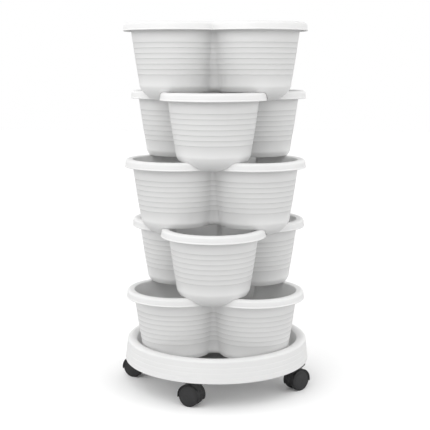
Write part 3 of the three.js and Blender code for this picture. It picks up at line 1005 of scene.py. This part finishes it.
def makeCasters(nylon, greyNylon, steel):
    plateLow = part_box("caster_plate_front")[0][2]
    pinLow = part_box("king_pin_front")[0][2]
    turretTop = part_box("caster_hood_front")[1][2]
    axleMiddle = middleOf("axle_front")
    pivot = middleOf("king_pin_front")
    trail = math.hypot(axleMiddle.x - pivot.x, axleMiddle.y - pivot.y)
    hoodMaster = makeHoodShape(axleMiddle.z, turretTop, pinLow, trail)
    wheelMaster = makeWheelShape()
    layDown(wheelMaster)          # its outer face now looks along -Y
    smooth(wheelMaster, wheel["smoothAngle"])
    axleMaster = makeAxleShape()
    layDown(axleMaster)
    smooth(axleMaster)
    for name in casterNames:
        pivot = middleOf("king_pin_" + name)
        hub = middleOf("axle_" + name)
        heading = math.atan2(hub.y - pivot.y, hub.x - pivot.x)
        makePlate(name, nylon)
        makeKingPin(name, steel)
        makeScrews(name, steel)
        shell = copyOf(hoodMaster, "hood_" + name)
        place(shell, turn=heading, shift=(pivot.x, pivot.y, 0))
        finishPiece(shell, "twin_hood_" + name, nylon, "swivel_" + name, "black_nylon", "caster_hood_" + name)
        shaft = copyOf(axleMaster, "shaft_" + name)
        place(shaft, turn=heading, shift=hub)
        finishPiece(shaft, "wheel_axle_" + name, steel, "swivel_" + name, "steel", "axle_" + name)
        for letter, flip in (("a", math.pi), ("b", 0)):
            tyre = copyOf(wheelMaster, "tyre_" + name + letter)
            side = 1 if letter == "a" else -1
            place(tyre, turn=flip)
            place(tyre, shift=(0, side * (hood["web"] / 2 + wheel["sideGap"]), 0))
            place(tyre, turn=heading, shift=hub)
            node = "wheel_" + name + "_" + letter
            roller = "roller_" + name + "_" + letter
            finishPiece(tyre, "caster_" + node, greyNylon, roller, "grey_nylon", node)
        print("caster", name, "plate at", round(plateLow / mm, 1), "mm")
    for master in (hoodMaster, wheelMaster, axleMaster):
        bpy.data.objects.remove(master)


# Materials

whiteFinish = {
    "base": (0.755, 0.755, 0.752),
    "shade": (0.725, 0.725, 0.722),
    # also the colour of the painted shade under the laps
    "dust": (0.36, 0.36, 0.355),
    "roughness": (0.34, 0.50),
    "grain": 1400.0,
    "grainDepth": 0.05,
    "blotch": 9.0,
    "dustAmount": 0.04,
    # strength of the painted shade under the laps
    "lapShadeAmount": 0.65,
    "metallic": 0.0,
}
nylonFinish = {
    "base": (0.012, 0.012, 0.013),
    "shade": (0.019, 0.019, 0.020),
    "dust": (0.08, 0.078, 0.075),
    "roughness": (0.30, 0.46),
    "grain": 2200.0,
    "grainDepth": 0.10,
    "blotch": 60.0,
    "dustAmount": 0.25,
    "lapShadeAmount": 0.0,
    "metallic": 0.0,
}
wheelFinish = {
    "base": (0.018, 0.018, 0.019),
    "shade": (0.026, 0.026, 0.027),
    "dust": (0.10, 0.098, 0.093),
    "roughness": (0.45, 0.66),
    "grain": 2600.0,
    "grainDepth": 0.12,
    "blotch": 80.0,
    "dustAmount": 0.15,
    "lapShadeAmount": 0.0,
    "metallic": 0.0,
}
steelFinish = {
    "base": (0.62, 0.62, 0.63),
    "shade": (0.48, 0.48, 0.50),
    "dust": (0.34, 0.33, 0.31),
    "roughness": (0.26, 0.44),
    "grain": 1800.0,
    "grainDepth": 0.03,
    "blotch": 240.0,
    "dustAmount": 0.2,
    "lapShadeAmount": 0.0,
    "metallic": 1.0,
}


grainShape = {
    "detail": 3,
    "toneDetail": 4,
    "toneRange": (0.35, 0.65),
    "stretch": (1, 1, 5),
    "scuffScale": 90,
    "scuffDetail": 6,
    "scuffTwist": 1.5,
    "scuffRange": (0.62, 0.72),   # only the highest of the noise shows as a scuff
    "scuffRoughness": 0.12,
    "bumpDistance": 0.2 * mm,
}
dustShape = {
    "scale": 35,
    "detail": 5,
    "facing": (0.3, 1.0),         # upward part of the normal
}
firstColour, secondColour, mixedColour = 6, 7, 2  # sockets of the Mix node that carry colours


def newGroup(name, inputs, outputs):
    group = bpy.data.node_groups.new(name, "ShaderNodeTree")
    for title, kind, value in inputs:
        socket = group.interface.new_socket(name=title, in_out="INPUT", socket_type=kind)
        if value is not None:
            socket.default_value = value
    for title, kind in outputs:
        group.interface.new_socket(name=title, in_out="OUTPUT", socket_type=kind)
    return group, group.nodes.new("NodeGroupInput"), group.nodes.new("NodeGroupOutput")


def mouldedGrain():  # spark-eroded mould texture, soft blotches of tone, and fine scuffs
    group, given, result = newGroup(
        "moulded grain",
        [("Grain", "NodeSocketFloat", 1500.0), ("Blotch", "NodeSocketFloat", 10.0)],
        [("Height", "NodeSocketFloat"), ("Tone", "NodeSocketFloat"), ("Scuff", "NodeSocketFloat")])
    coordinates = group.nodes.new("ShaderNodeTexCoord")
    grain = group.nodes.new("ShaderNodeTexNoise")
    grain.inputs["Detail"].default_value = grainShape["detail"]
    tone = group.nodes.new("ShaderNodeTexNoise")
    tone.inputs["Detail"].default_value = grainShape["toneDetail"]
    stretch = group.nodes.new("ShaderNodeMapping")
    stretch.inputs["Scale"].default_value = grainShape["stretch"]
    scuff = group.nodes.new("ShaderNodeTexNoise")
    scuff.inputs["Scale"].default_value = grainShape["scuffScale"]
    scuff.inputs["Detail"].default_value = grainShape["scuffDetail"]
    scuff.inputs["Distortion"].default_value = grainShape["scuffTwist"]
    thin = group.nodes.new("ShaderNodeMapRange")
    thin.inputs["From Min"].default_value = grainShape["scuffRange"][0]
    thin.inputs["From Max"].default_value = grainShape["scuffRange"][1]
    spread = group.nodes.new("ShaderNodeMapRange")
    spread.inputs["From Min"].default_value = grainShape["toneRange"][0]
    spread.inputs["From Max"].default_value = grainShape["toneRange"][1]
    wire(group, [
        (coordinates.outputs["Object"], grain.inputs["Vector"]),
        (given.outputs["Grain"], grain.inputs["Scale"]),
        (coordinates.outputs["Object"], tone.inputs["Vector"]),
        (given.outputs["Blotch"], tone.inputs["Scale"]),
        (coordinates.outputs["Object"], stretch.inputs["Vector"]),
        (stretch.outputs["Vector"], scuff.inputs["Vector"]),
        (scuff.outputs["Fac"], thin.inputs["Value"]),
        (tone.outputs["Fac"], spread.inputs["Value"]),
        (grain.outputs["Fac"], result.inputs["Height"]),
        (spread.outputs["Result"], result.inputs["Tone"]),
        (thin.outputs["Result"], result.inputs["Scuff"]),
    ])
    return group


def dustAndPaintedLapShade():  # real dust on faces that look up, and painted shade along the laps
    group, given, result = newGroup(
        "dust and painted lap shade",
        [("Amount", "NodeSocketFloat", 0.2), ("Lap", "NodeSocketFloat", 0.0)],
        [("DustAndShade", "NodeSocketFloat")])
    coordinates = group.nodes.new("ShaderNodeTexCoord")
    patch = group.nodes.new("ShaderNodeTexNoise")
    patch.inputs["Scale"].default_value = dustShape["scale"]
    patch.inputs["Detail"].default_value = dustShape["detail"]
    face = group.nodes.new("ShaderNodeNewGeometry")
    parts = group.nodes.new("ShaderNodeSeparateXYZ")
    up = group.nodes.new("ShaderNodeMapRange")
    up.inputs["From Min"].default_value = dustShape["facing"][0]
    up.inputs["From Max"].default_value = dustShape["facing"][1]
    lying = group.nodes.new("ShaderNodeMath")
    lying.operation = "MULTIPLY"
    scaled = group.nodes.new("ShaderNodeMath")
    scaled.operation = "MULTIPLY"
    total = group.nodes.new("ShaderNodeMath")
    total.operation = "ADD"
    total.use_clamp = True
    wire(group, [
        (coordinates.outputs["Object"], patch.inputs["Vector"]),
        (face.outputs["Normal"], parts.inputs["Vector"]),
        (parts.outputs["Z"], up.inputs["Value"]),
        (up.outputs["Result"], lying.inputs[0]),
        (patch.outputs["Fac"], lying.inputs[1]),
        (lying.outputs["Value"], scaled.inputs[0]),
        (given.outputs["Amount"], scaled.inputs[1]),
        (scaled.outputs["Value"], total.inputs[0]),
        (given.outputs["Lap"], total.inputs[1]),
        (total.outputs["Value"], result.inputs["DustAndShade"]),
    ])
    return group


def mixColour(tree, first, second):  # first and second are colours or sockets
    mix = tree.nodes.new("ShaderNodeMix")
    mix.data_type = "RGBA"
    for index, colour in ((firstColour, first), (secondColour, second)):
        if isinstance(colour, tuple):
            mix.inputs[index].default_value = (*colour, 1)
        else:
            tree.links.new(colour, mix.inputs[index])
    return mix


def makeFinish(name, finish, grainGroup, dustGroup):
    material = bpy.data.materials.new(name)
    material.use_nodes = True
    tree = material.node_tree
    shader = tree.nodes["Principled BSDF"]
    shader.inputs["Metallic"].default_value = finish["metallic"]
    grain = tree.nodes.new("ShaderNodeGroup")
    grain.node_tree = grainGroup
    grain.inputs["Grain"].default_value = finish["grain"]
    grain.inputs["Blotch"].default_value = finish["blotch"]
    dust = tree.nodes.new("ShaderNodeGroup")
    dust.node_tree = dustGroup
    dust.inputs["Amount"].default_value = finish["dustAmount"]
    toned = mixColour(tree, finish["base"], finish["shade"])
    # real dust and the painted lap shade both pull the colour towards the dust colour
    dustedAndShaded = mixColour(tree, toned.outputs[mixedColour], finish["dust"])
    roughness = tree.nodes.new("ShaderNodeMapRange")
    roughness.inputs["To Min"].default_value = finish["roughness"][0]
    roughness.inputs["To Max"].default_value = finish["roughness"][1]
    scuffed = tree.nodes.new("ShaderNodeMath")
    scuffed.operation = "MULTIPLY_ADD"
    scuffed.inputs[1].default_value = grainShape["scuffRoughness"]
    bump = tree.nodes.new("ShaderNodeBump")
    bump.inputs["Strength"].default_value = finish["grainDepth"]
    bump.inputs["Distance"].default_value = grainShape["bumpDistance"]
    wire(tree, [
        (grain.outputs["Tone"], toned.inputs[0]),
        (dust.outputs["DustAndShade"], dustedAndShaded.inputs[0]),
        (dustedAndShaded.outputs[mixedColour], shader.inputs["Base Color"]),
        (grain.outputs["Tone"], roughness.inputs["Value"]),
        (grain.outputs["Scuff"], scuffed.inputs[0]),
        (roughness.outputs["Result"], scuffed.inputs[2]),
        (scuffed.outputs["Value"], shader.inputs["Roughness"]),
        (grain.outputs["Height"], bump.inputs["Height"]),
        (bump.outputs["Normal"], shader.inputs["Normal"]),
    ])
    # painted shade: the lap attribute darkens the colour towards the dust colour in the step under each lap
    if finish["lapShadeAmount"]:
        lap = tree.nodes.new("ShaderNodeAttribute")
        lap.attribute_name = "lapPaintedShade"
        weaken = tree.nodes.new("ShaderNodeMath")
        weaken.operation = "MULTIPLY"
        weaken.inputs[1].default_value = finish["lapShadeAmount"]
        wire(tree, [(lap.outputs["Fac"], weaken.inputs[0]), (weaken.outputs["Value"], dust.inputs["Lap"])])
    return material


setCamera()
setRoom()
setFloor()
setSoftbox()
print("camera and studio set")
grainGroup = mouldedGrain()
dustGroup = dustAndPaintedLapShade()
whitePlastic = makeFinish("white moulded plastic", whiteFinish, grainGroup, dustGroup)
blackNylon = makeFinish("black nylon", nylonFinish, grainGroup, dustGroup)
greyNylon = makeFinish("dark grey nylon", wheelFinish, grainGroup, dustGroup)
zincSteel = makeFinish("zinc steel", steelFinish, grainGroup, dustGroup)
print("materials made")
stackPots(whitePlastic)
makeSaucer(whitePlastic)
makeCasters(blackNylon, greyNylon, zincSteel)
